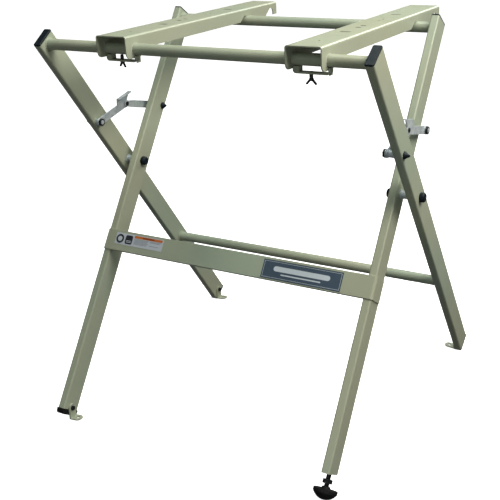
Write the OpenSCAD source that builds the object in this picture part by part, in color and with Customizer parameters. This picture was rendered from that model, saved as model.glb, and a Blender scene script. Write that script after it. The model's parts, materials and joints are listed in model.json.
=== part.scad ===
// Folding scissor-leg stand (sawhorse) with two sliding top rails.
// X runs along the cross tubes, +Y to the rear, +Z up; feet stand on z = 0.

/* [Frame] */
// Width over the outer legs
frame_w = 626; // [560:1:700]
// Angle of each leg from the vertical when open
lean = 35; // [33:0.5:36]
// Depth of the leg tube
leg_depth = 40; // [36:1:44]
// Thickness of the leg tube across the frame
leg_thick = 15; // [14:0.5:18]
// Wall of the leg tube
leg_wall = 1.5; // [1.2:0.1:2]
// Outside corner radius of the leg tube
leg_corner = 3; // [2:0.5:4]
// Clear gap between an outer leg and its inner leg
frame_gap = 20; // [20:0.5:22]
// Pivot to the cut top end of every leg
top_reach = 319; // [315:1:330]
// Pivot to the cut bottom end of the outer legs
rear_reach = 504; // [495:1:510]
// Pivot to the cut bottom end of the inner left leg
boot_reach = 498; // [490:1:500]
// Pivot to the cut bottom end of the inner right leg
screw_foot_reach = 474; // [470:1:478]

/* [Cross members] */
// Outside diameter of the round cross tubes
tube_d = 19; // [18:0.5:20]
// Wall of the round cross tubes
tube_wall = 1.5; // [1.2:0.1:2]
// Pivot to the top tubes, along the legs
top_tube_reach = 306; // [300:1:308]
// Pivot to the lower rear tube, along the legs
lower_tube_reach = 267; // [260:1:275]
// Pivot to the top edge of the front strap, along the legs
strap_reach = 148; // [145:1:155]
// Height of the front strap, along the legs
strap_h = 39.5; // [34:0.5:42]
// Sheet thickness of the front strap
strap_t = 2; // [1.5:0.5:2]

/* [Top rails] */
// Position of the left rail across the frame
rail_left_x = -143.5; // [-160:0.5:-100]
// Position of the right rail across the frame
rail_right_x = 204; // [120:1:212]
// Width of a rail
rail_w = 60; // [58:1:62]
// Sheet thickness of a rail
rail_t = 2; // [1.5:0.5:2.5]
// Height of the rail top above the tube axis
rail_rise = 23; // [21:0.5:25]
// Overhang of a rail in front of the front tube axis
rail_front = 25; // [22:1:28]
// Length of a rail behind the front tube axis
rail_rear = 468; // [460:1:470]
// How far the tip of the left clamp screw stands above its bar
left_screw_out = 7.6; // [0:0.1:7.6]
// How far the tip of the right clamp screw stands above its bar
right_screw_out = 1; // [0:0.1:7.6]

/* [Braces] */
// Pivot to a brace pin, along the leg
brace_reach = 121.5; // [115:1:125]
// Offset of a brace pin towards the outside edge of the leg
brace_offset = 11.5; // [8:0.5:12]
// Height of the brace rivet above the line through the pins
rivet_rise = 18.6; // [16:0.2:24]
// Width of a brace link
link_w = 14; // [12:1:14]
// Thickness of a brace link
link_t = 2.5; // [2:0.5:2.5]

/* [Feet] */
// Thickness of the rear foot caps under the tube
rear_cap_h = 4.5; // [3:0.5:6]
// Radius of the levelling pad
pad_r = 20; // [18:1:22]
// Depth of the domed underside of the levelling pad
pad_dome = 12; // [11:0.5:14]

/* [Hidden] */
$fn = 48;
eps = 0.01;
fit = 0.05;      // radial clearance of a running fit
play = 0.3;      // clearance between faces that move past each other

// Faces across the frame
outer_x = frame_w / 2;
outer_inside_x = outer_x - leg_thick;
inner_x = outer_inside_x - frame_gap;
inner_inside_x = inner_x - leg_thick;
outer_mid_x = (outer_x + outer_inside_x) / 2;
inner_mid_x = (inner_x + inner_inside_x) / 2;

// Heights and depths, all from the ground up
cap_round = 4;
pivot_z = (rear_reach + rear_cap_h - cap_round) * cos(lean)
        + (leg_depth / 2 - cap_round) * sin(lean) + cap_round;
tube_y = top_tube_reach * sin(lean);
tube_z = pivot_z + top_tube_reach * cos(lean);
tube_r = tube_d / 2;

// Brace: two equal links between a pin on each frame
pin_y = brace_reach * sin(lean) + brace_offset * cos(lean);
pin_z = pivot_z + brace_reach * cos(lean) - brace_offset * sin(lean);
link_len = sqrt(pin_y * pin_y + rivet_rise * rivet_rise);
link_angle = atan2(rivet_rise, pin_y);
stud_r = 4;
washer_t = 1.2;
thin_nut_t = 4;
nut_af = 13;
cone_h = 10;
stud_in_cone = 4;
link_gap = 0.5;
left_hook_x = -outer_inside_x + 5;
left_plain_x = left_hook_x + link_t + link_gap;
right_plain_x = inner_x + 6.5;
right_hook_x = right_plain_x + link_t + link_gap;
lip_reach = 8;
head_top = 18;
rivet_r = 2.5;
rivet_end_r = 5.5;

// Vent hole in the outside face of the right outer leg
vent_r = 1.4;
vent_offset = 14.5;
vent_reach = 92.5;

// Pivot hardware
bolt_r = 4;
bush_r = 5;
washer_d = 17;
bolt_head_h = 5.3;
bolt_head_af = 13;
lock_nut_h = 6;
dome_r = 8.5;
dome_len = 9;

// Foot hardware
plug_depth = 22;
boot_toe_r = 7;
boot_heel_r = 6;
boot_half = leg_depth / 2 + 1.5;
boot_bottom = boot_heel_r + (pivot_z - boot_heel_r - (boot_half - boot_heel_r) * sin(lean)) / cos(lean);
dome_sphere = (pad_r * pad_r + pad_dome * pad_dome) / (2 * pad_dome);
pad_rim = (pivot_z - dome_sphere) / cos(lean) + dome_sphere - pad_dome;
insert_len = 24;
foot_stud_r = 3.95;
foot_stud_top = screw_foot_reach - 34;
foot_hex_at = 483;
foot_hex_h = 6.5;
foot_hex_af = 15;
bracket_t = 2.5;
bracket_w = 17;
bracket_arm = 20;
bracket_tab = 23;
bracket_hole_at = 13.5;
bracket_bend = 84;
bracket_hole_r = 3.25;
bracket_bolt_reach = 494;
bracket_screw_r = 2.5;

// Rail sections, measured from the front tube axis
flange_low = -1;
bend_r = 4;
ear_low = -13.5;
glide_wall = 1.2;
glide_in = tube_r + fit;
glide_out = glide_in + glide_wall;
ear_hole = glide_out + fit;
seat_at = 2 * tube_y;
seat_r = tube_r + play;
clamp_top = -17.7;
clamp_low = -20.4;
clamp_half = 6;
clamp_end_gap = 0.4;
clamp_riser = 10.5;
hook_lip = -22.2;
screw_r = 3;
screw_pad_h = 1.5;
screw_pad_r = 2.6;
screw_shank = 10.6;
long_slot = [20, 6];
short_slot = [11, 6];
long_slots_at = [118, 328];
short_slots_at = [166, 186];
rail_holes_at = [27, 252, 268];
rail_hole_r = 2.5;

steel_paint = "#a5a78f";
black_part = "#1d222b";
zinc = "#a9b3b8";
nylon = "#d8d6cc";

// ---------- shared shapes ----------

module round_box(w, d, r) {
    square([w - 2 * r, d], center = true);
    square([w, d - 2 * r], center = true);
    for (i = [-1, 1], j = [-1, 1])
        translate([i * (w / 2 - r), j * (d / 2 - r)]) circle(r);
}

module leg_section(wall) {
    difference() {
        round_box(leg_thick, leg_depth, leg_corner);
        round_box(leg_thick - 2 * wall, leg_depth - 2 * wall, leg_corner - wall);
    }
}

// Frame coordinates: origin at the pivot, z up along the legs
module outer_frame() {
    translate([0, 0, pivot_z]) rotate([lean, 0, 0]) children();
}

module inner_frame() {
    translate([0, 0, pivot_z]) rotate([-lean, 0, 0]) children();
}

// A cylinder along +X from x0 to x1
module x_rod(r, x0, x1) {
    translate([x0, 0, 0]) rotate([0, 90, 0]) cylinder(r = r, h = x1 - x0);
}

module x_ring(r_out, r_in, x0, x1) {
    difference() {
        x_rod(r_out, x0, x1);
        x_rod(r_in, x0 - 1, x1 + 1);
    }
}

// Hexagonal prism along +X, measured across its flats
module x_hex(af, x0, x1) {
    translate([x0, 0, 0]) rotate([0, 90, 0]) cylinder(r = af / 2 / cos(30), h = x1 - x0, $fn = 6);
}

function arc(cx, cy, r, a0, a1, n = 8) =
    [for (i = [0:n]) [cx + r * cos(a0 + (a1 - a0) * i / n), cy + r * sin(a0 + (a1 - a0) * i / n)]];

// ---------- legs and cross members ----------

// Hole for a bracket screw, from the inside face at the middle of a leg
module bracket_bore(side) {
    translate([0, 0, -bracket_bolt_reach]) x_rod(bracket_screw_r + fit, min(0, -side * leg_thick), max(0, -side * leg_thick));
}

module leg(x, low, pin_side) {
    translate([x, 0, -low]) difference() {
        linear_extrude(low + top_reach) leg_section(leg_wall);
        translate([0, 0, low]) x_rod(pin_side > 0 ? bush_r : bolt_r + fit, -leg_thick, leg_thick);
        translate([0, pin_side * brace_offset, low + brace_reach]) x_rod(stud_r + fit, -leg_thick, leg_thick);
    }
}

module outer_leg(side) {
    color(steel_paint) outer_frame() difference() {
        leg(side * outer_mid_x, rear_reach, -1);
        translate([side * outer_mid_x, 0, 0]) bracket_bore(side);
        if (side > 0) translate([outer_mid_x, vent_offset, vent_reach]) x_rod(vent_r, 0, leg_thick);
    }
}

module inner_leg(side) {
    low = side < 0 ? boot_reach : screw_foot_reach;
    color(steel_paint) inner_frame() difference() {
        leg(side * inner_mid_x, low, 1);
        translate([side * inner_mid_x, 0, 0]) bracket_bore(side);
    }
}

module cross_tube(half, y, z) {
    color(steel_paint) translate([0, y, z]) x_ring(tube_r, tube_r - tube_wall, -half, half);
}

module front_top_tube() {
    cross_tube(outer_inside_x, -tube_y, tube_z);
}

module rear_top_tube() {
    cross_tube(inner_inside_x, tube_y, tube_z);
}

module rear_lower_tube() {
    cross_tube(outer_inside_x, lower_tube_reach * sin(lean), pivot_z - lower_tube_reach * cos(lean));
}

module front_strap() {
    wrap = leg_depth / 2 + strap_t;
    bend = leg_corner + strap_t;
    flange = 10;
    color(steel_paint) inner_frame() translate([0, 0, -strap_reach - strap_h]) {
        linear_extrude(strap_h) difference() {
            union() {
                translate([0, -wrap + bend]) square([2 * (inner_x + strap_t - bend), 2 * bend], center = true);
                for (i = [-1, 1]) {
                    translate([i * (inner_x + strap_t - bend), -wrap + bend]) circle(bend);
                    translate([i * (inner_x + strap_t - bend / 2), -1]) square([bend, 2 * (wrap - bend) - 2], center = true);
                }
            }
            translate([0, 1]) square([2 * (inner_x - leg_corner), leg_depth + 2], center = true);
            translate([0, leg_corner]) square([2 * inner_x, leg_depth], center = true);
            for (i = [-1, 1])
                translate([i * (inner_x - leg_corner), leg_corner - leg_depth / 2]) circle(leg_corner);
        }
        for (z = [0, strap_h - strap_t])
            translate([-inner_inside_x + play, -leg_depth / 2 - eps, z])
                cube([2 * (inner_inside_x - play), flange, strap_t]);
    }
}

module top_cap(x) {
    cap_h = 3;
    edge = 0.8;
    color(black_part) translate([x, 0, top_reach]) {
        linear_extrude(cap_h - edge) round_box(leg_thick, leg_depth, leg_corner);
        translate([0, 0, cap_h - edge - eps])
            linear_extrude(edge) round_box(leg_thick - 2 * edge, leg_depth - 2 * edge, leg_corner - edge);
        translate([0, 0, -plug_depth]) linear_extrude(plug_depth + eps)
            round_box(leg_thick - 2 * leg_wall - 2 * fit, leg_depth - 2 * leg_wall - 2 * fit, leg_corner - leg_wall);
    }
}

module outer_top_cap(side) {
    outer_frame() top_cap(side * outer_mid_x);
}

module inner_top_cap(side) {
    inner_frame() top_cap(side * inner_mid_x);
}

// ---------- feet ----------

// Side outline of a foot, flat on the tube end and round underneath
module foot_outline(half, low, r) {
    rotate([90, 0, 90]) linear_extrude(leg_thick, center = true)
        polygon(concat([[half, 0], [-half, 0]],
            arc(-half + r, -low + r, r, 180, 270),
            arc(half - r, -low + r, r, 270, 360)));
}

module tube_plug(depth) {
    linear_extrude(depth)
        round_box(leg_thick - 2 * leg_wall - 2 * fit, leg_depth - 2 * leg_wall - 2 * fit, leg_corner - leg_wall);
}

module rear_foot_cap(side) {
    color(black_part) outer_frame() translate([side * outer_mid_x, 0, 0]) difference() {
        translate([0, 0, -rear_reach]) {
            foot_outline(leg_depth / 2, rear_cap_h, cap_round);
            translate([0, 0, -eps]) tube_plug(plug_depth);
        }
        bracket_bore(side);
    }
}

module foot_boot() {
    color(black_part) inner_frame() translate([-inner_mid_x, 0, 0]) difference() {
        translate([0, 0, -boot_reach]) {
            rotate([90, 0, 90]) linear_extrude(leg_thick, center = true)
                polygon(concat([[boot_half, 0], [-boot_half, 0]],
                    arc(-boot_half + boot_toe_r, boot_reach - boot_bottom + boot_toe_r, boot_toe_r, 180, 270),
                    arc(boot_half - boot_heel_r, boot_reach - boot_bottom + boot_heel_r, boot_heel_r, 270, 360)));
            translate([0, 0, -eps]) tube_plug(plug_depth);
        }
        bracket_bore(-1);
    }
}

module foot_insert() {
    color(zinc) inner_frame() translate([inner_mid_x, 0, -screw_foot_reach]) difference() {
        tube_plug(insert_len);
        translate([0, 0, -1]) cylinder(r = foot_stud_r + fit, h = insert_len + 2);
    }
}

module levelling_stud() {
    end_at = pad_rim + 6;
    color("#26272a") inner_frame() translate([inner_mid_x, 0, 0]) {
        translate([0, 0, -end_at]) cylinder(r = foot_stud_r, h = end_at - foot_stud_top);
        translate([0, 0, -foot_hex_at - foot_hex_h]) cylinder(r = foot_hex_af / 2 / cos(30), h = foot_hex_h, $fn = 6);
    }
}

module levelling_pad() {
    rim_h = 5;
    collar_h = 4;
    pole = dome_sphere - pad_dome;
    color(black_part) inner_frame() translate([inner_mid_x, 0, -pad_rim]) difference() {
        union() {
            translate([0, 0, -eps]) cylinder(r = pad_r, h = rim_h);
            cylinder(r1 = 9.5, r2 = 6.5, h = rim_h + collar_h);
            intersection() {
                translate([0, 0, pole]) sphere(dome_sphere);
                translate([-pad_r - 1, -pad_r - 1, -pad_dome - 1]) cube([2 * pad_r + 2, 2 * pad_r + 2, pad_dome + 1]);
            }
        }
        translate([0, 0, -6 - play]) cylinder(r = foot_stud_r + fit, h = 30);
    }
}

// L-shaped floor tab: a plate on the leg face, an arm and a tab that points inwards along +X
module floor_bracket() {
    half = bracket_w / 2;
    rotate([90, 0, 90]) linear_extrude(bracket_t) difference() {
        union() {
            circle(half);
            translate([-half, -bracket_arm]) square([bracket_w, bracket_arm]);
        }
        circle(bracket_screw_r + fit);
    }
    translate([0, 0, -bracket_arm]) rotate([0, bracket_bend - 90, 0]) {
        translate([0, 0, -bracket_t / 2]) linear_extrude(bracket_t) difference() {
            union() {
                translate([1, -half]) square([bracket_tab - half - 1, bracket_w]);
                translate([bracket_tab - half, 0]) circle(half);
            }
            translate([bracket_hole_at, 0]) circle(bracket_hole_r);
        }
    }
    translate([bracket_t / 2, half, -bracket_arm]) rotate([90, 0, 0]) cylinder(r = bracket_t / 2, h = bracket_w);
}

// Places a bracket on the inside face of a leg; side is the end of the frame it sits on
module place_bracket(side, face_x, forward) {
    translate([side * face_x, forward * bracket_bolt_reach * sin(lean), pivot_z - bracket_bolt_reach * cos(lean)])
        mirror([side > 0 ? 1 : 0, 0, 0]) children();
}

module bracket_screw() {
    x_rod(bracket_screw_r, -leg_thick / 2 + 1, bracket_t + eps);
    x_rod(4.5, bracket_t, bracket_t + 1.2);
    x_hex(8, bracket_t + 1, bracket_t + 3.5);
}

module rear_bracket(side) {
    color(steel_paint) place_bracket(side, outer_inside_x, 1) floor_bracket();
}

module rear_bracket_screws() {
    color(black_part) for (side = [-1, 1]) place_bracket(side, outer_inside_x, 1) bracket_screw();
}

module front_bracket() {
    color(steel_paint) place_bracket(-1, inner_inside_x, -1) floor_bracket();
}

module front_bracket_screw() {
    color(black_part) place_bracket(-1, inner_inside_x, -1) bracket_screw();
}

// ---------- main pivots, drawn for the right side and mirrored ----------

module both_pivots() {
    for (i = [0, 1]) mirror([i, 0, 0]) translate([0, 0, pivot_z]) children();
}

module pivot_bolts() {
    color(zinc) both_pivots() {
        x_rod(bolt_r, inner_inside_x - lock_nut_h - 1, outer_x + eps);
        x_hex(bolt_head_af, outer_x, outer_x + bolt_head_h);
    }
}

module pivot_spacers() {
    rim = 1.6;
    color(zinc) both_pivots() {
        x_ring(6.5, bolt_r + fit, inner_x + play, outer_inside_x);
        x_ring(washer_d / 2, bolt_r + fit, inner_x + play, inner_x + play + rim);
        x_ring(washer_d / 2, bolt_r + fit, outer_inside_x - rim, outer_inside_x);
    }
}

module pivot_lock_nuts() {
    color(zinc) both_pivots() difference() {
        x_hex(bolt_head_af, inner_inside_x - play - lock_nut_h, inner_inside_x - play);
        x_rod(bolt_r + fit, inner_inside_x - 20, inner_inside_x);
    }
}

// Domed cover, open towards +X, with its rim at x = 0
module dome_cap(len) {
    round = 4;
    difference() {
        union() {
            x_rod(dome_r, -len + round, 0);
            x_rod(dome_r - round, -len, -len + round + eps);
            translate([-len + round, 0, 0]) rotate([0, 90, 0]) rotate_extrude() translate([dome_r - round, 0]) circle(round);
        }
        x_rod(dome_r - 0.9, -len + 1.5, 1);
    }
}

module pivot_caps() {
    color(black_part) both_pivots() {
        translate([inner_inside_x - play, 0, 0]) dome_cap(dome_len);
        translate([outer_x, 0, 0]) mirror([1, 0, 0]) dome_cap(dome_len);
    }
}

module pivot_bushes() {
    color(nylon) both_pivots() x_ring(bush_r, bolt_r + fit, inner_inside_x, inner_x);
}

// ---------- braces ----------

module at_pin(front) {
    translate([0, front ? -pin_y : pin_y, pin_z]) children();
}

// Hardware of one brace pin: cone_x is the leg face with the cone cap, link_x0 the near face of the
// link, and dir points from the leg towards the nut
module stud(cone_x, link_far_x, dir) {
    end = link_far_x + dir * (play + washer_t + thin_nut_t + 0.4);
    start = cone_x - dir * stud_in_cone;
    x_rod(stud_r, min(start, end), max(start, end));
}

module pin_washer(link_far_x, dir) {
    a = link_far_x + dir * play;
    b = a + dir * washer_t;
    x_ring(7.5, stud_r + fit, min(a, b), max(a, b));
}

module pin_nut(link_far_x, dir) {
    a = link_far_x + dir * (play + washer_t);
    b = a + dir * thin_nut_t;
    difference() {
        x_hex(nut_af, min(a, b), max(a, b));
        x_rod(stud_r + fit, min(a, b) - 1, max(a, b) + 1);
    }
}

module standoff(leg_face_x, link_near_x, dir) {
    b = link_near_x - dir * play;
    x_ring(6, stud_r + fit, min(leg_face_x, b), max(leg_face_x, b));
}

module cone_cap(cone_x, dir) {
    translate([cone_x, 0, 0]) rotate([0, dir > 0 ? -90 : 90, 0]) difference() {
        union() {
            cylinder(r = 6.3, h = 2);
            translate([0, 0, 2 - eps]) cylinder(r1 = 6.3, r2 = 2.2, h = cone_h - 4);
            translate([0, 0, cone_h - 2.4]) sphere(r = 2.4);
        }
        translate([0, 0, -1]) cylinder(r = stud_r + fit, h = 1 + stud_in_cone + play);
    }
}

module brace_studs_outer() {
    color(zinc) at_pin(true) {
        stud(-outer_x, left_hook_x + link_t, 1);
        stud(outer_x, right_plain_x, -1);
    }
}

module brace_standoffs_outer() {
    color(zinc) at_pin(true) {
        standoff(-outer_inside_x, left_hook_x, 1);
        standoff(outer_inside_x, right_plain_x + link_t, -1);
    }
}

module brace_washers_outer() {
    color(zinc) at_pin(true) {
        pin_washer(left_hook_x + link_t, 1);
        pin_washer(right_plain_x, -1);
    }
}

module brace_nuts_outer() {
    color(black_part) at_pin(true) {
        pin_nut(left_hook_x + link_t, 1);
        pin_nut(right_plain_x, -1);
    }
}

module brace_cone_caps_outer() {
    color(black_part) at_pin(true) {
        cone_cap(-outer_x, 1);
        cone_cap(outer_x, -1);
    }
}

module brace_studs_inner() {
    color(zinc) at_pin(false) {
        stud(-inner_inside_x, left_plain_x, -1);
        stud(inner_inside_x, right_hook_x + link_t, 1);
    }
}

module brace_standoffs_inner() {
    color(zinc) at_pin(false) {
        standoff(-inner_x, left_plain_x + link_t, -1);
        standoff(inner_x, right_hook_x, 1);
    }
}

module brace_washers_inner() {
    color(zinc) at_pin(false) {
        pin_washer(left_plain_x, -1);
        pin_washer(right_hook_x + link_t, 1);
    }
}

module brace_nuts_inner() {
    color(black_part) at_pin(false) {
        pin_nut(left_plain_x, -1);
        pin_nut(right_hook_x + link_t, 1);
    }
}

module brace_cone_caps_inner() {
    color(black_part) at_pin(false) {
        cone_cap(-inner_inside_x, -1);
        cone_cap(inner_inside_x, 1);
    }
}

// Turns a flat outline in (along, up) into a plate of the given thickness that starts at x
module side_plate(x, t) {
    translate([x, 0, 0]) rotate([90, 0, 90]) linear_extrude(t) children();
}

module plain_outline() {
    difference() {
        union() {
            circle(link_w / 2);
            polygon([[0, -link_w / 2], [link_len - 20, -link_w / 2], [link_len, -rivet_end_r],
                [link_len, rivet_end_r], [link_len - 20, link_w / 2], [0, link_w / 2]]);
            translate([link_len, 0]) circle(rivet_end_r);
        }
        circle(stud_r + fit);
        translate([link_len, 0]) circle(rivet_r + fit);
    }
}

module hook_outline() {
    head_from = link_len - 23;
    head_to = link_len + 18;
    difference() {
        union() {
            circle(link_w / 2);
            translate([0, -link_w / 2]) square([link_len, link_w]);
            translate([link_len, 0]) circle(link_w / 2 + 1);
            polygon([[head_from, 0], [head_from, link_w / 2 + 2], [head_from + 3, head_top],
                [head_to, head_top], [link_len + link_w / 2 + 1, link_w / 2], [link_len, 0]]);
        }
        circle(stud_r + fit);
        translate([link_len, 0]) circle(rivet_r + fit);
    }
}

// The hook link carries a lip along the top of its head, folded over the plain link
module hook_link(x, lip_dir) {
    lip_from = link_len - 20;
    lip_len = 38;
    lip_t = 2;
    color(zinc) {
        side_plate(x, link_t) hook_outline();
        translate([lip_dir > 0 ? x : x + link_t - lip_reach, lip_from, head_top - lip_t])
            cube([lip_reach, lip_len, lip_t]);
    }
}

module hook_link_left() {
    at_pin(true) rotate([link_angle, 0, 0]) hook_link(left_hook_x, 1);
}

module plain_link_left() {
    color(zinc) at_pin(false) mirror([0, 1, 0]) rotate([link_angle, 0, 0]) side_plate(left_plain_x, link_t) plain_outline();
}

module hook_link_right() {
    at_pin(false) mirror([0, 1, 0]) rotate([link_angle, 0, 0]) hook_link(right_hook_x, -1);
}

module plain_link_right() {
    color(zinc) at_pin(true) rotate([link_angle, 0, 0]) side_plate(right_plain_x, link_t) plain_outline();
}

// Rivet held by one link, with its head on the +X side of that link
module rivet(x) {
    head = 1.6;
    color(black_part) translate([0, 0, pin_z + rivet_rise]) {
        x_rod(rivet_r, x, x + link_t + eps);
        x_rod(4, x + link_t, x + link_t + head);
    }
}

module rivet_left() {
    rivet(left_plain_x);
}

module rivet_right() {
    rivet(right_hook_x);
}

// ---------- top rails, drawn about the front tube axis ----------

module at_rail(x) {
    translate([x, -tube_y, tube_z]) children();
}

module slot_hole(y, size) {
    r = size[1] / 2;
    translate([0, y, 0]) linear_extrude(2 * rail_rise) {
        square([size[0] - 2 * r, 2 * r], center = true);
        for (i = [-1, 1]) translate([i * (size[0] / 2 - r), 0]) circle(r);
    }
}

// Flange below the bent top, in (along the rail, up)
module flange_outline() {
    top = rail_rise - bend_r;
    spare_at = seat_at + 93;
    spare_r = 9.5;
    difference() {
        union() {
            translate([-rail_front, flange_low]) square([rail_front + rail_rear, top - flange_low]);
            polygon(concat([[-rail_front, 0], [-rail_front, ear_low + 10]],
                arc(-rail_front + 10, ear_low + 10, 10, 180, 270),
                [[11, ear_low], [26, flange_low], [26, 0]]));
        }
        circle(ear_hole);
        translate([seat_at, 0]) circle(seat_r);
        polygon([[seat_at - 26.5, flange_low - 1], [seat_at - 10.5, seat_r], [seat_at, seat_r],
            [seat_at + seat_r, 0], [seat_at + seat_r, flange_low - 1]]);
        translate([spare_at, 3.5]) circle(spare_r);
        polygon([[spare_at - 23, flange_low - 1], [spare_at - 6.8, 10.1], [spare_at + spare_r, 3.5],
            [spare_at + spare_r, flange_low - 1]]);
    }
}

// Hook that hangs from the right flange and carries the clamp bar
module clamp_hook_outline() {
    post = clamp_half + 0.4;
    polygon([[1, hook_lip], [post + 4, hook_lip], [post + 4, ear_low + 2], [post, ear_low + 2],
        [post, clamp_low - play], [1, clamp_low - play]]);
}

module rail() {
    half = rail_w / 2;
    color(steel_paint) difference() {
        union() {
            rotate([90, 0, 0]) translate([0, 0, -rail_rear]) linear_extrude(rail_front + rail_rear) difference() {
                union() {
                    translate([-half, rail_rise - bend_r - 1]) square([rail_w, 1 + eps]);
                    translate([-half + bend_r, rail_rise - bend_r]) square([rail_w - 2 * bend_r, bend_r]);
                    for (i = [-1, 1]) translate([i * (half - bend_r), rail_rise - bend_r]) circle(bend_r);
                }
                translate([-half + bend_r, 0]) square([rail_w - 2 * bend_r, rail_rise - rail_t]);
                translate([-half + rail_t, 0]) square([rail_w - 2 * rail_t, rail_rise - bend_r]);
                for (i = [-1, 1]) translate([i * (half - bend_r), rail_rise - bend_r]) circle(bend_r - rail_t);
            }
            side_plate(-half, rail_t) flange_outline();
            side_plate(half - rail_t, rail_t) {
                flange_outline();
                clamp_hook_outline();
            }
        }
        for (y = long_slots_at) slot_hole(y, long_slot);
        for (y = short_slots_at) slot_hole(y, short_slot);
        for (y = rail_holes_at) translate([0, y, 0]) cylinder(r = rail_hole_r, h = 2 * rail_rise);
    }
}

// Bent bar under the tube: one end stands inside the rail, the other outside the right ear
module clamp_bar() {
    half = rail_w / 2;
    left = -half + rail_t + clamp_end_gap;
    right = half + 3;
    under_tube = -tube_r - play;
    color(steel_paint) difference() {
        rotate([90, 0, 0]) linear_extrude(2 * clamp_half, center = true)
            polygon(concat(arc(left + 5, clamp_low + 5, 5, 180, 270),
                arc(right - 5, clamp_low + 5, 5, 270, 360),
                [[right, under_tube], [half + clamp_end_gap, under_tube], [half + clamp_end_gap, clamp_top],
                [left + clamp_riser, clamp_top], [left + clamp_riser, under_tube]],
                arc(left + 4, under_tube - 4, 4, 90, 180)));
        translate([0, 0, clamp_low - 1]) cylinder(r = screw_r, h = 10);
    }
}

module glide_rings() {
    inside = rail_w / 2 - rail_t;
    rim = 0.1;
    color(nylon) for (i = [0, 1]) mirror([i, 0, 0])
        x_ring(glide_out, glide_in, inside + rim, rail_w / 2 - rim);
}

// Pressure pad at the tip of the clamp screw; out is how far its face stands above the bar
module screw_pad(out) {
    color(black_part) translate([0, 0, clamp_top + out - screw_pad_h]) cylinder(r = screw_pad_r, h = screw_pad_h);
}

module wing_bolt(out, turn) {
    tip = -screw_pad_h - 0.2;
    hub = -screw_shank;
    color(black_part) translate([0, 0, clamp_top + out]) rotate([0, 0, turn]) {
        translate([0, 0, hub]) cylinder(r = screw_r - fit, h = tip - hub);
        translate([0, 0, hub - 3.5]) cylinder(r = 3.6, h = 3.5);
        for (i = [0, 1]) mirror([i, 0, 0]) rotate([90, 0, 0]) linear_extrude(2.4, center = true) {
            polygon([[0, hub - 0.6], [3.2, hub - 0.8], [8.5, hub - 7], [6.3, hub - 8.9], [2.2, hub - 4.4], [0, hub - 4]]);
            translate([7.4, hub - 7.9]) circle(1.5);
        }
    }
}

module rail_left() {
    at_rail(rail_left_x) rail();
}

module rail_right() {
    at_rail(rail_right_x) rail();
}

module clamp_bar_left() {
    at_rail(rail_left_x) clamp_bar();
}

module clamp_bar_right() {
    at_rail(rail_right_x) clamp_bar();
}

module glide_rings_left() {
    at_rail(rail_left_x) glide_rings();
}

module glide_rings_right() {
    at_rail(rail_right_x) glide_rings();
}

module screw_pad_left() {
    at_rail(rail_left_x) screw_pad(left_screw_out);
}

module screw_pad_right() {
    at_rail(rail_right_x) screw_pad(right_screw_out);
}

module wing_bolt_left() {
    at_rail(rail_left_x) wing_bolt(left_screw_out, -21);
}

module wing_bolt_right() {
    at_rail(rail_right_x) wing_bolt(right_screw_out, 0);
}

// ---------- plates on the front strap ----------

module strap_plate(x, z, w, h) {
    inner_frame() translate([x, -leg_depth / 2 - strap_t - 0.4, z - h]) cube([w, 0.4, h]);
}

module maker_plate() {
    color("#3d4a5c") strap_plate(69, -strap_reach - 4, 152.5, 33.5);
}

module warning_plate() {
    color("#b9c0cc") strap_plate(-256, -strap_reach - 4.5, 109.5, 22.5);
}

outer_leg(-1);  // outer_leg_left
outer_leg(1);  // outer_leg_right
front_top_tube();
rear_lower_tube();
outer_top_cap(-1);  // outer_top_cap_left
outer_top_cap(1);  // outer_top_cap_right
rear_foot_cap(-1);  // rear_foot_cap_left
rear_foot_cap(1);  // rear_foot_cap_right
rear_bracket(-1);  // rear_bracket_left
rear_bracket(1);  // rear_bracket_right
rear_bracket_screws();
pivot_bolts();
pivot_spacers();
pivot_lock_nuts();
pivot_caps();
brace_studs_outer();
brace_standoffs_outer();
brace_washers_outer();
brace_nuts_outer();
brace_cone_caps_outer();
inner_leg(-1);  // inner_leg_left
inner_leg(1);  // inner_leg_right
rear_top_tube();
front_strap();
inner_top_cap(-1);  // inner_top_cap_left
inner_top_cap(1);  // inner_top_cap_right
pivot_bushes();
foot_boot();
front_bracket();
front_bracket_screw();
foot_insert();
maker_plate();
warning_plate();
brace_studs_inner();
brace_standoffs_inner();
brace_washers_inner();
brace_nuts_inner();
brace_cone_caps_inner();
hook_link_left();
plain_link_left();
rivet_left();
hook_link_right();
plain_link_right();
rivet_right();
rail_left();
clamp_bar_left();
glide_rings_left();
screw_pad_left();
wing_bolt_left();
rail_right();
clamp_bar_right();
glide_rings_right();
screw_pad_right();
wing_bolt_right();
levelling_pad();
levelling_stud();
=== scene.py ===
import bpy, bmesh, json, math
from mathutils import Matrix, Vector


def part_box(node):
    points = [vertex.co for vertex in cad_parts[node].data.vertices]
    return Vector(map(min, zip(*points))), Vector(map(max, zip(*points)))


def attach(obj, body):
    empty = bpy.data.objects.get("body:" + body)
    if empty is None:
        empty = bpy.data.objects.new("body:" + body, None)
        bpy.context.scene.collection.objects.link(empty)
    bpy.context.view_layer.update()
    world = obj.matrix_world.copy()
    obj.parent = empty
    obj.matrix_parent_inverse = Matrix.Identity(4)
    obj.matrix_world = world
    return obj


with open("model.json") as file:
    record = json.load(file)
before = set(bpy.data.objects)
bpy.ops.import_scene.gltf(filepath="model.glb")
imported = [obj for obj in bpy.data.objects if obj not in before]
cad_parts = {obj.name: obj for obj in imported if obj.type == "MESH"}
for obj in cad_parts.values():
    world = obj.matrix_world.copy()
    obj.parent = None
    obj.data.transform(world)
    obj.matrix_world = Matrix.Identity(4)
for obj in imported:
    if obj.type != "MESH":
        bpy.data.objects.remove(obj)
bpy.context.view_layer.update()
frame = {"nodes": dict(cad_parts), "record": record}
nodes = frame["nodes"]
MM = 0.001

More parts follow.
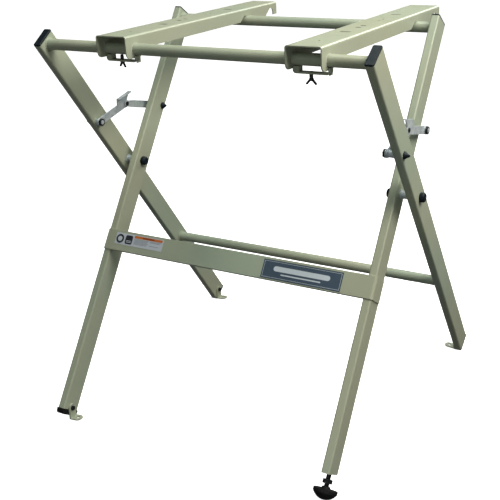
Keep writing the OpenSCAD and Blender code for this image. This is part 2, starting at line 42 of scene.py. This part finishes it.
# Where the CAD part has its frames and rails, in metres
LEAN = math.radians(35)
PIVOT_Z = 0.426439
TUBE_Y = 0.175514
RAIL_X = {"left": -0.1435, "right": 0.204}


# ---------- materials ----------

class Mat:
    """A node material with short helpers."""

    def __init__(self, name):
        self.m = bpy.data.materials.new(name)
        self.m.use_nodes = True
        self.nt = self.m.node_tree
        self.b = self.nt.nodes["Principled BSDF"]
        self.tc = self.nt.nodes.new("ShaderNodeTexCoord")

    def set(self, **kw):
        for k, v in kw.items():
            self.b.inputs[k.replace("_", " ")].default_value = v
        return self

    def link(self, a, b):
        self.nt.links.new(a, b)

    def noise(self, scale, detail=3.0, rough=0.5, stretch=None):
        n = self.nt.nodes.new("ShaderNodeTexNoise")
        n.inputs["Scale"].default_value = scale
        n.inputs["Detail"].default_value = detail
        n.inputs["Roughness"].default_value = rough
        src = self.tc.outputs["Object"]
        if stretch:
            mp = self.nt.nodes.new("ShaderNodeMapping")
            mp.inputs["Scale"].default_value = stretch
            self.link(src, mp.inputs["Vector"])
            src = mp.outputs["Vector"]
        self.link(src, n.inputs["Vector"])
        return n.outputs["Fac"]

    def voronoi(self, scale):
        n = self.nt.nodes.new("ShaderNodeTexVoronoi")
        n.inputs["Scale"].default_value = scale
        self.link(self.tc.outputs["Object"], n.inputs["Vector"])
        return n.outputs["Distance"]

    def ramp(self, fac, stops):
        r = self.nt.nodes.new("ShaderNodeValToRGB")
        e = r.color_ramp.elements
        while len(e) < len(stops):
            e.new(0.5)
        for el, (p, c) in zip(e, stops):
            el.position = p
            el.color = c if len(c) == 4 else (*c, 1)
        self.link(fac, r.inputs["Fac"])
        return r.outputs["Color"]

    def mix(self, fac, a, b):
        n = self.nt.nodes.new("ShaderNodeMix")
        n.data_type = "RGBA"
        for s, v in ((n.inputs[0], fac), (n.inputs[6], a), (n.inputs[7], b)):
            if hasattr(v, "node"):
                self.link(v, s)
            else:
                s.default_value = v if not isinstance(v, tuple) else (*v[:3], 1)
        return n.outputs[2]

    def range(self, fac, lo, hi, f0=0.0, f1=1.0):
        n = self.nt.nodes.new("ShaderNodeMapRange")
        n.inputs["From Min"].default_value = f0
        n.inputs["From Max"].default_value = f1
        n.inputs["To Min"].default_value = lo
        n.inputs["To Max"].default_value = hi
        self.link(fac, n.inputs["Value"])
        return n.outputs["Result"]

    def bump(self, heights):
        last = None
        for h, strength, dist in heights:
            n = self.nt.nodes.new("ShaderNodeBump")
            n.inputs["Strength"].default_value = strength
            n.inputs["Distance"].default_value = dist
            self.link(h, n.inputs["Height"])
            if last:
                self.link(last, n.inputs["Normal"])
            last = n.outputs["Normal"]
        self.link(last, self.b.inputs["Normal"])
        return self

    def color(self, c):
        self.link(c, self.b.inputs["Base Color"])
        return self

    def rough(self, r):
        self.link(r, self.b.inputs["Roughness"])
        return self


def paint():
    """Sage beige powder coat: orange peel, faint mottling, a few dusty scuffs."""
    m = Mat("frame_paint")
    light = (0.420, 0.455, 0.350)
    cool, warm = (0.350, 0.408, 0.314), (0.398, 0.412, 0.300)
    drift = m.ramp(m.noise(3.2, 2), [(0.38, cool), (0.62, warm)])
    tone = m.mix(m.range(m.noise(9, 4), 0.0, 0.5, 0.4, 0.75), drift, light)
    speck = m.ramp(m.noise(420, 2, 0.7), [(0.42, (0, 0, 0)), (0.62, (1, 1, 1))])
    body = m.mix(m.range(speck, 0.0, 0.10), tone, light)
    scuff = m.ramp(m.noise(38, 6, 0.75, (1, 0.25, 0.4)), [(0.66, (0, 0, 0)), (0.74, (1, 1, 1))])
    m.color(m.mix(m.range(scuff, 0.0, 0.22), body, (0.52, 0.52, 0.44)))
    m.rough(m.range(m.noise(60, 3), 0.28, 0.44, 0.3, 0.7))
    m.bump([(m.noise(700, 2, 0.6), 0.10, 0.0006), (m.noise(2600, 1), 0.05, 0.0003)])
    return m.set(Specular_IOR_Level=0.45).m


def zinc():
    """Dull zinc plate with a bluish cast and faint clouding."""
    m = Mat("zinc_steel")
    m.color(m.ramp(m.noise(120, 4),
                   [(0.3, (0.44, 0.50, 0.54)), (0.55, (0.60, 0.66, 0.69)), (0.75, (0.74, 0.77, 0.77))]))
    m.rough(m.range(m.noise(260, 4), 0.26, 0.46, 0.3, 0.7))
    m.bump([(m.noise(900, 3), 0.08, 0.0004)])
    return m.set(Metallic=0.3).m


def black_steel():
    """Blackened steel with a satin finish."""
    m = Mat("black_steel")
    m.color(m.ramp(m.noise(240, 3), [(0.35, (0.006, 0.006, 0.008)), (0.7, (0.016, 0.017, 0.021))]))
    m.rough(m.range(m.noise(300, 3), 0.30, 0.44, 0.3, 0.7))
    m.bump([(m.noise(1500, 2), 0.08, 0.0003)])
    return m.set(Specular_IOR_Level=0.35).m


def black_plastic():
    """Moulded black with a navy tint and a fine leather-like grain."""
    m = Mat("black_plastic")
    m.color(m.ramp(m.noise(90, 4), [(0.3, (0.003, 0.007, 0.011)), (0.7, (0.008, 0.016, 0.022))]))
    m.rough(m.range(m.noise(180, 3), 0.38, 0.55, 0.3, 0.7))
    m.bump([(m.voronoi(1600), 0.12, 0.0003)])
    return m.set(Specular_IOR_Level=0.2).m


def rubber():
    """Matt black rubber with a little dust."""
    m = Mat("rubber")
    dust = m.ramp(m.noise(70, 5, 0.65), [(0.5, (0, 0, 0)), (0.75, (1, 1, 1))])
    m.color(m.mix(m.range(dust, 0.0, 0.12), (0.005, 0.005, 0.006), (0.05, 0.049, 0.045)))
    m.rough(m.range(m.noise(140, 3), 0.5, 0.72, 0.3, 0.7))
    m.bump([(m.noise(1100, 3), 0.14, 0.0004)])
    return m.set(Specular_IOR_Level=0.3).m


def nylon():
    """Natural nylon, slightly translucent."""
    m = Mat("nylon")
    m.color(m.ramp(m.noise(80, 3), [(0.3, (0.55, 0.54, 0.48)), (0.7, (0.68, 0.67, 0.61))]))
    m.rough(m.range(m.noise(200, 2), 0.4, 0.5))
    m.bump([(m.noise(1200, 2), 0.06, 0.0003)])
    return m.set(Subsurface_Weight=0.08).m


MATS = {"frame_paint": paint(), "zinc_steel": zinc(), "black_steel": black_steel(),
        "black_plastic": black_plastic(), "rubber": rubber(), "nylon": nylon()}


def film(name, base, ink):
    """Printed film for the plates: faint mottling and satin gloss."""
    m = Mat(name)
    m.color(m.mix(m.range(m.noise(160, 4), 0.0, 0.25, 0.35, 0.7), base, ink))
    m.rough(m.range(m.noise(90, 2), 0.28, 0.4))
    m.bump([(m.noise(600, 2), 0.04, 0.0003)])
    return m.m


MATS["maker_label"] = film("maker_label", (0.055, 0.085, 0.125), (0.085, 0.115, 0.155))
MATS["notice_label"] = film("notice_label", (0.58, 0.62, 0.68), (0.50, 0.54, 0.61))
FILM_ORANGE = film("film_orange", (0.62, 0.17, 0.04), (0.5, 0.13, 0.03))
FILM_DARK = film("film_dark", (0.020, 0.024, 0.035), (0.04, 0.045, 0.06))
FILM_PALE = film("film_pale", (0.62, 0.68, 0.74), (0.54, 0.60, 0.67))
FILM_GREY = film("film_grey", (0.24, 0.27, 0.32), (0.30, 0.33, 0.38))
FILM_RUST = film("film_rust", (0.30, 0.07, 0.02), (0.38, 0.10, 0.03))

for entry in frame["record"]["subparts"]:
    o = nodes[entry["node"]]
    o.data.materials.clear()
    o.data.materials.append(MATS[entry["material_slot"]])


# ---------- edges of the CAD pieces ----------

SAME_POINT = 1e-6
SAME_PLANE = math.radians(0.2)
SHARP = math.radians(38)


def soften(name, width):
    """Rounds a node's sharp edges a little, so that they catch the light."""
    o = nodes[name]
    weld = o.modifiers.new("weld", "WELD")
    weld.merge_threshold = SAME_POINT
    flat = o.modifiers.new("flat", "DECIMATE")
    flat.decimate_type = "DISSOLVE"
    flat.angle_limit = SAME_PLANE
    bevel = o.modifiers.new("bevel", "BEVEL")
    bevel.width = width
    bevel.segments = 2
    bevel.limit_method = "ANGLE"
    bevel.angle_limit = SHARP
    bevel.use_clamp_overlap = True
    normals = o.modifiers.new("normals", "WEIGHTED_NORMAL")
    normals.mode = "FACE_AREA"
    normals.weight = 100
    for face in o.data.polygons:
        face.use_smooth = True


# How far each material's edges are rounded, in mm
EDGE = {"frame_paint": 0.5, "zinc_steel": 0.25, "black_steel": 0.25, "black_plastic": 0.4,
        "rubber": 0.5, "nylon": 0.2, "maker_label": 0.08, "notice_label": 0.08}
for entry in frame["record"]["subparts"]:
    soften(entry["node"], EDGE[entry["material_slot"]] * MM)


# ---------- added detail ----------

def new_piece(name, verts, faces, material, body, smooth=True):
    me = bpy.data.meshes.new(name)
    me.from_pydata(verts, [], faces)
    bm = bmesh.new()
    bm.from_mesh(me)
    bmesh.ops.recalc_face_normals(bm, faces=bm.faces)
    bm.to_mesh(me)
    bm.free()
    me.materials.append(material)
    for face in me.polygons:
        face.use_smooth = smooth
    o = bpy.data.objects.new(name, me)
    bpy.context.collection.objects.link(o)
    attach(o, body)
    return o


def weld_rings(name, node, body, radius):
    """Rippled weld beads where a round tube meets the legs, one at each end."""
    lo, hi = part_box(node)
    y, z = (lo[1] + hi[1]) / 2, (lo[2] + hi[2]) / 2
    around, section = 96, 8
    ripples, wobbles = 26, 5
    bead, ripple, wobble = 1.5, 0.28, 0.12
    verts, faces = [], []
    for x, inward in ((lo[0], 1), (hi[0], -1)):
        first = len(verts)
        for i in range(around):
            a = 2 * math.pi * i / around
            size = (bead + ripple * math.sin(ripples * a) + wobble * math.sin(wobbles * a + x * 40)) * MM
            for j in range(section):
                b = 2 * math.pi * j / section
                r = radius + size * (0.15 + 0.9 * math.cos(b))
                verts.append((x + inward * size * (0.1 + 0.9 * math.sin(b)),
                              y + r * math.cos(a), z + r * math.sin(a)))
        for i in range(around):
            for j in range(section):
                i2, j2 = (i + 1) % around, (j + 1) % section
                faces.append((first + i * section + j, first + i2 * section + j,
                              first + i2 * section + j2, first + i * section + j2))
    return new_piece(name, verts, faces, MATS["frame_paint"], body)


def thread(name, start, direction, length, radius, pitch, material, body, slot):
    """A thread's ridge, wound as a helix on a screw's shank; it fades out at both ends."""
    d = Vector(direction).normalized()
    u = d.orthogonal().normalized()
    v = d.cross(u)
    per_turn, fade_steps = 20, 8
    root, crest, flank = -0.25 * MM, 0.22 * MM, 0.42
    count = int(length / pitch * per_turn)
    verts, faces = [], []
    for i in range(count + 1):
        a = 2 * math.pi * i / per_turn
        out = math.cos(a) * u + math.sin(a) * v
        at = Vector(start) + d * (pitch * i / per_turn)
        fade = min(1, i / fade_steps, (count - i) / fade_steps)
        for r, along in ((root, -flank), (crest * fade, 0), (root, flank)):
            verts.append(at + out * (radius + r) + d * pitch * along)
    for i in range(count):
        for j in range(3):
            k = (j + 1) % 3
            faces.append((3 * i + j, 3 * i + 3 + j, 3 * i + 3 + k, 3 * i + k))
    faces += [(0, 1, 2), (3 * count + 2, 3 * count + 1, 3 * count)]
    return new_piece(name, verts, faces, material, body)


def rounded(x0, x1, y0, y1, r, steps=5):
    """Outline of a rectangle with round corners."""
    pts = []
    corners = ((x1 - r, y1 - r, 0), (x0 + r, y1 - r, 90), (x0 + r, y0 + r, 180), (x1 - r, y0 + r, 270))
    for cx, cy, from_deg in corners:
        for k in range(steps + 1):
            a = math.radians(from_deg + 90 * k / steps)
            pts.append((cx + r * math.cos(a), cy + r * math.sin(a)))
    return pts


# The front strap's two directions: up its face, and out of it
STRAP_UP = Vector((0, math.sin(LEAN), math.cos(LEAN)))
STRAP_OUT = Vector((0, -math.cos(LEAN), math.sin(LEAN)))


INK, INK_ON_INK, INK_ROOT = 0.12, 0.2, -0.03


def print_on(name, node, outlines, material, lift=INK):
    """Raised ink shapes on a plate's face, in mm from the plate's lower left corner."""
    mesh = nodes[node].data.vertices
    x0 = min(v.co.x for v in mesh)
    up0 = min(v.co.dot(STRAP_UP) for v in mesh)
    out0 = max(v.co.dot(STRAP_OUT) for v in mesh)
    verts, faces = [], []
    for outline in outlines:
        first, n = len(verts), len(outline)
        for h in (INK_ROOT, lift):
            for right, up in outline:
                verts.append(Vector((x0 + right * MM, 0, 0)) + STRAP_UP * (up0 + up * MM)
                             + STRAP_OUT * (out0 + h * MM))
        faces.append(tuple(first + n + k for k in range(n)))
        faces.append(tuple(first + n - 1 - k for k in range(n)))
        for k in range(n):
            k2 = (k + 1) % n
            faces.append((first + k, first + k2, first + n + k2, first + n + k))
    return new_piece(name, verts, faces, material, "inner_frame", smooth=False)


TUBE_R = 9.5 * MM
weld_rings("weld_beads_front_tube", "front_top_tube", "outer_frame", TUBE_R)
weld_rings("weld_beads_lower_tube", "rear_lower_tube", "outer_frame", TUBE_R)
weld_rings("weld_beads_rear_tube", "rear_top_tube", "inner_frame", TUBE_R)


def on_inner_frame(x, n, s):
    """A point in mm on the inner frame: n across its legs, s along them, up from the pivot."""
    return Vector((x * MM, (n * math.cos(LEAN) + s * math.sin(LEAN)) * MM,
                   PIVOT_Z + (s * math.cos(LEAN) - n * math.sin(LEAN)) * MM))


def weld_lines(name, runs, size, body):
    """Short rippled beads, each from one point to another, tapered at both ends."""
    along, section = 40, 8
    end_size, taper, ripple, ripple_rate = 0.25, 8, 0.14, 55
    verts, faces = [], []
    for start, end in runs:
        d = (end - start).normalized()
        u = d.orthogonal().normalized()
        v = d.cross(u)
        first = len(verts)
        for i in range(along + 1):
            t = i / along
            full = min(1, end_size + taper * t, end_size + taper * (1 - t))
            r = size * full * (1 + ripple * math.sin(t * ripple_rate))
            for j in range(section):
                a = 2 * math.pi * j / section
                verts.append(start.lerp(end, t) + (math.cos(a) * u + math.sin(a) * v) * r)
        for i in range(along):
            for j in range(section):
                j2 = (j + 1) % section
                k = first + i * section
                faces.append((k + j, k + section + j, k + section + j2, k + j2))
        faces.append(tuple(first + j for j in range(section)))
        faces.append(tuple(first + along * section + section - 1 - j for j in range(section)))
    return new_piece(name, verts, faces, MATS["frame_paint"], body)


# Along the strap's upper and lower edges, where it meets the fronts of the legs, in mm
STRAP_TOP, STRAP_LOW, LEG_FRONT = -148.0, -187.5, -20.0
BEAD_FROM, BEAD_TO = 265.5, 275.5
runs = []
for side in (-1, 1):
    for s in (STRAP_TOP, STRAP_LOW):
        ends = sorted((side * BEAD_FROM, side * BEAD_TO))
        runs.append(tuple(on_inner_frame(x, LEG_FRONT, s) for x in ends))
weld_lines("weld_beads_strap", runs, 1.1 * MM, "inner_frame")

# Threads: the crest stays just inside the hole that the screw passes through
DOWN_LEG = on_inner_frame(0, 0, -1) - on_inner_frame(0, 0, 0)
FOOT_LEG_X, FOOT_THREAD_TOP = 270.5, -442
FOOT_THREAD = {"length": 40.5 * MM, "radius": 3.80 * MM, "pitch": 1.25 * MM}
WING_THREAD = {"length": 8.6 * MM, "radius": 2.74 * MM, "pitch": 1.0 * MM}
WING_THREAD_DEPTH = 9.0 * MM
thread("foot_thread", on_inner_frame(FOOT_LEG_X, 0, FOOT_THREAD_TOP), DOWN_LEG, **FOOT_THREAD,
       material=MATS["black_steel"], body="levelling_stud", slot="black_steel")
for side in ("left", "right"):
    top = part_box("wing_bolt_" + side)[1][2]
    thread("screw_thread_" + side, (RAIL_X[side], -TUBE_Y, top - WING_THREAD_DEPTH), (0, 0, 1), **WING_THREAD,
           material=MATS["black_steel"], body="wing_bolt_" + side, slot="black_steel")


# ---------- plain graphics on the two plates ----------

def disc(cx, cy, r, steps=32):
    angles = [2 * math.pi * k / steps for k in range(steps)]
    return [(cx + r * math.cos(a), cy + r * math.sin(a)) for a in angles]


def bar(x, y, w, h, r=0.2):
    return rounded(x, x + w, y, y + h, r, 3)


# The left plate: a ring, a dark tile with two bars, a coloured band and rows of thin bars
NOTICE = "warning_plate"
RING = (10.6, 11.2)
print_on("notice_shapes_dark", NOTICE, [disc(*RING, 8.8), bar(23.0, 2.6, 16.4, 17.2, 3)],
         FILM_DARK)
print_on("notice_shapes_pale", NOTICE, [disc(*RING, 5.0)] + [bar(26.0, y, 10.4, 1.1) for y in (6.0, 8.6)],
         FILM_PALE, INK_ON_INK)
print_on("notice_band", NOTICE, [bar(43.0, 16.4, 64.5, 4.9)], FILM_ORANGE)
print_on("notice_band_middle", NOTICE, [bar(62.0, 17.4, 27.0, 2.9)], FILM_RUST, INK_ON_INK)
ROW_TOP, ROW_STEP, ROW_H = 14.2, 1.9, 0.8
rows = [bar(43.5, ROW_TOP - ROW_STEP * k, 34.0 - 2.2 * (k % 3), ROW_H) for k in range(6)]
rows += [bar(80.0, ROW_TOP - ROW_STEP * k, 26.0 - 3.0 * (k % 2), ROW_H) for k in range(2)]
rows += [bar(80.0, 6.0, 21.0, ROW_H)]
print_on("notice_lines", NOTICE, rows, FILM_GREY)

# The right plate: a thin border, a wide bar and a narrow one
MAKER_W, MAKER_H, INSET, LINE = 152.5, 33.5, 2.4, 0.5
ACROSS, UPRIGHT = MAKER_W - 2 * INSET, MAKER_H - 2 * (INSET + LINE)
border = [bar(INSET, INSET, ACROSS, LINE), bar(INSET, MAKER_H - INSET - LINE, ACROSS, LINE),
          bar(INSET, INSET + LINE, LINE, UPRIGHT), bar(MAKER_W - INSET - LINE, INSET + LINE, LINE, UPRIGHT)]
print_on("maker_border", "maker_plate", border, FILM_PALE)
print_on("maker_bars", "maker_plate", [bar(22, 14.5, 108.5, 9.0, 4.4), bar(38, 8.6, 76.5, 2.2, 1.0)],
         FILM_PALE)


# ---------- camera, lights and floor ----------

CAMERA_AT = (0.78355, -1.30327, 0.89531)
AZIMUTH, ELEVATION, ROLL = 29.57, 22.29, -2.14
SENSOR, LENS = 36, 62.35056
SHIFT_X, SHIFT_Y = -0.06396, 0.00584
WORLD_LIGHT = 0.075


def camera():
    """The view from the front, right and above that the stand is shown in."""
    az, el, roll = math.radians(AZIMUTH), math.radians(ELEVATION), math.radians(ROLL)
    d = Vector((-math.sin(az) * math.cos(el), math.cos(az) * math.cos(el), -math.sin(el)))
    right = Vector((math.cos(az), math.sin(az), 0))
    up = right.cross(d)
    c, s = math.cos(roll), math.sin(roll)
    r2, u2 = c * right + s * up, -s * right + c * up
    cam = bpy.data.cameras.new("camera")
    cam.sensor_width = SENSOR
    cam.lens = LENS
    cam.shift_x = SHIFT_X
    cam.shift_y = SHIFT_Y
    cam.clip_end = 50
    o = bpy.data.objects.new("camera", cam)
    bpy.context.collection.objects.link(o)
    rot = Matrix((r2, u2, -d)).transposed().to_4x4()
    o.matrix_world = Matrix.Translation(Vector(CAMERA_AT)) @ rot
    bpy.context.scene.camera = o


def lights():
    """Soft studio light: name, place, target, size in metres, watts and tint of each."""
    w = bpy.data.worlds.new("world")
    bpy.context.scene.world = w
    w.use_nodes = True
    bg = w.node_tree.nodes["Background"]
    bg.inputs[0].default_value = (1, 1, 1, 1)
    bg.inputs[1].default_value = WORLD_LIGHT

    def area(name, loc, target, size, watts, tint):
        l = bpy.data.lights.new(name, "AREA")
        l.shape = "RECTANGLE"
        l.size, l.size_y = size
        l.energy = watts
        l.color = tint
        ob = bpy.data.objects.new(name, l)
        bpy.context.collection.objects.link(ob)
        ob.location = loc
        ob.visible_camera = False
        ob.rotation_euler = (Vector(target) - Vector(loc)).to_track_quat("-Z", "Y").to_euler()

    area("key", (1.3, -0.1, 1.7), (0.2, 0, 0.5), (0.9, 0.9), 31, (1.0, 0.96, 0.88))
    area("front", (-0.6, -3.4, 2.0), (0, 0, 0.4), (2.0, 1.2), 6, (0.90, 1.0, 0.95))
    area("top", (0.0, 0.3, 3.4), (0, 0, 0.4), (2.0, 2.0), 60, (0.93, 1.0, 0.94))
    area("back", (0.8, 3.2, 2.4), (0, 0, 0.4), (2.0, 1.5), 64, (0.96, 1.0, 0.96))
    area("bounce", (0.9, -1.8, 0.03), (0.1, 0.2, 0.35), (1.8, 1.0), 5, (0.90, 1.0, 0.95))


def floor_and_backdrop():
    """A pale floor with a round wall that keeps the background pale from every side."""
    size = 14.0
    me = bpy.data.meshes.new("floor")
    corners = [(-size, -size, 0), (size, -size, 0), (size, size, 0), (-size, size, 0)]
    me.from_pydata(corners, [], [(0, 1, 2, 3)])
    fl = bpy.data.objects.new("floor", me)
    bpy.context.collection.objects.link(fl)
    fm = Mat("floor")
    fm.color(fm.ramp(fm.noise(3, 2), [(0.3, (0.80, 0.80, 0.80)), (0.7, (0.83, 0.83, 0.83))]))
    fm.set(Roughness=0.8, Emission_Color=(1, 1, 1, 1), Emission_Strength=1.0)
    me.materials.append(fm.m)
    fl.visible_diffuse = False
    fl.visible_glossy = False

    steps, reach, height = 64, 13.0, 9.0
    ring = disc(0, 0, reach, steps)
    wall = bpy.data.meshes.new("backdrop")
    wall.from_pydata([(x, y, z) for z in (-height, height) for x, y in ring], [],
                     [(i, (i + 1) % steps, steps + (i + 1) % steps, steps + i) for i in range(steps)])
    wall.materials.append(fm.m)
    back = bpy.data.objects.new("backdrop", wall)
    bpy.context.collection.objects.link(back)
    back.visible_diffuse = False
    back.visible_glossy = False
    back.visible_shadow = False


camera()
lights()
floor_and_backdrop()
bpy.context.scene.view_settings.view_transform = "Standard"
